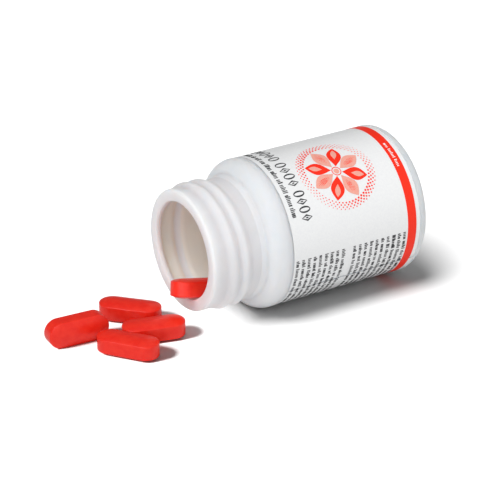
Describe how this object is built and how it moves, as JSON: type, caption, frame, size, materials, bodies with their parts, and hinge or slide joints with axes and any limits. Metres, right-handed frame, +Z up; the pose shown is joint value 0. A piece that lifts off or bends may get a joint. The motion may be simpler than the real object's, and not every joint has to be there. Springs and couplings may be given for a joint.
{
  "type": "bottle of tablets",
  "caption": "Open round plastic bottle with a screw neck and a wrapped label, lying on its side with oblong tablets in it and spilled before its mouth.",
  "frame": {"origin": "the point on the floor below the middle of the whole set", "axes": "+Z up; +X along the bottle's axis from its mouth to its base; the front of the label faces -Y and up"},
  "size_m": [0.1218, 0.048, 0.048],
  "materials": {
    "bottle_plastic": "semi-gloss blown white polyethylene",
    "label_film": "satin coated label",
    "red_ink": "printed ink",
    "black_ink": "printed ink",
    "tablet_coating": "satin film coating"
  },
  "bodies": {
    "root": {"bottle": "bottle_plastic", "label": "label_film", "print_band": "red_ink", "print_flower": "red_ink", "print_title": "black_ink", "print_lines": "black_ink", "tablet_mouth": "tablet_coating", "tablet_left": "tablet_coating", "tablet_back": "tablet_coating", "tablet_middle": "tablet_coating", "tablet_front": "tablet_coating", "tablet_inside_1": "tablet_coating", "tablet_inside_2": "tablet_coating", "tablet_inside_3": "tablet_coating", "tablet_inside_4": "tablet_coating", "tablet_inside_5": "tablet_coating", "tablet_inside_6": "tablet_coating", "tablet_inside_7": "tablet_coating", "tablet_inside_8": "tablet_coating", "tablet_inside_9": "tablet_coating", "tablet_inside_10": "tablet_coating", "tablet_inside_11": "tablet_coating", "tablet_inside_12": "tablet_coating", "tablet_inside_13": "tablet_coating", "tablet_inside_14": "tablet_coating", "tablet_inside_15": "tablet_coating", "tablet_inside_16": "tablet_coating", "tablet_inside_17": "tablet_coating", "tablet_inside_18": "tablet_coating", "tablet_inside_19": "tablet_coating", "tablet_inside_20": "tablet_coating", "tablet_inside_21": "tablet_coating", "tablet_inside_22": "tablet_coating", "tablet_inside_23": "tablet_coating", "tablet_inside_24": "tablet_coating", "tablet_inside_25": "tablet_coating"}
  },
  "joints": []
}
